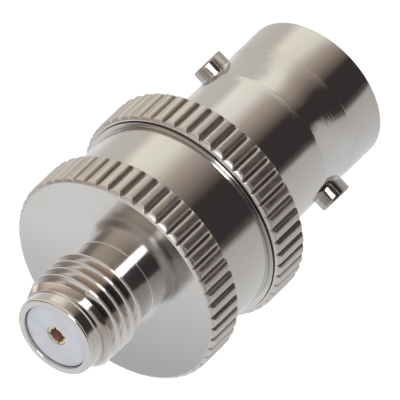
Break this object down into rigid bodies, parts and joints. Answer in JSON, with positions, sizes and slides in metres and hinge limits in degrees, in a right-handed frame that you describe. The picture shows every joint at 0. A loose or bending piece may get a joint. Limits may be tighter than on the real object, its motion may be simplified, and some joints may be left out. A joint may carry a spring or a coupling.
{
  "type": "coax adapter",
  "caption": "Nickel-plated coax adapter: a bayonet jack with side lugs at one end, a threaded jack with a slotted socket at the other, and knurled rings round its middle barrel.",
  "frame": {"origin": "centre of the bayonet jack's mouth, on the plane that the adapter stands on", "axes": "+Z along the adapter's axis towards the threaded jack's rim, +X through the right bayonet lug"},
  "size_m": [0.0144, 0.0144, 0.0259],
  "materials": {
    "nickel": "polished nickel plate over brass",
    "insulator": "smooth white fluoropolymer",
    "gold": "gold plate over spring copper alloy"
  },
  "bodies": {
    "root": {"bayonet_shell": "nickel", "threaded_shell": "nickel", "left_lug": "nickel", "right_lug": "nickel", "front_insulator": "insulator", "rear_insulator": "insulator", "front_contact": "gold", "rear_contact": "gold"}
  },
  "joints": []
}
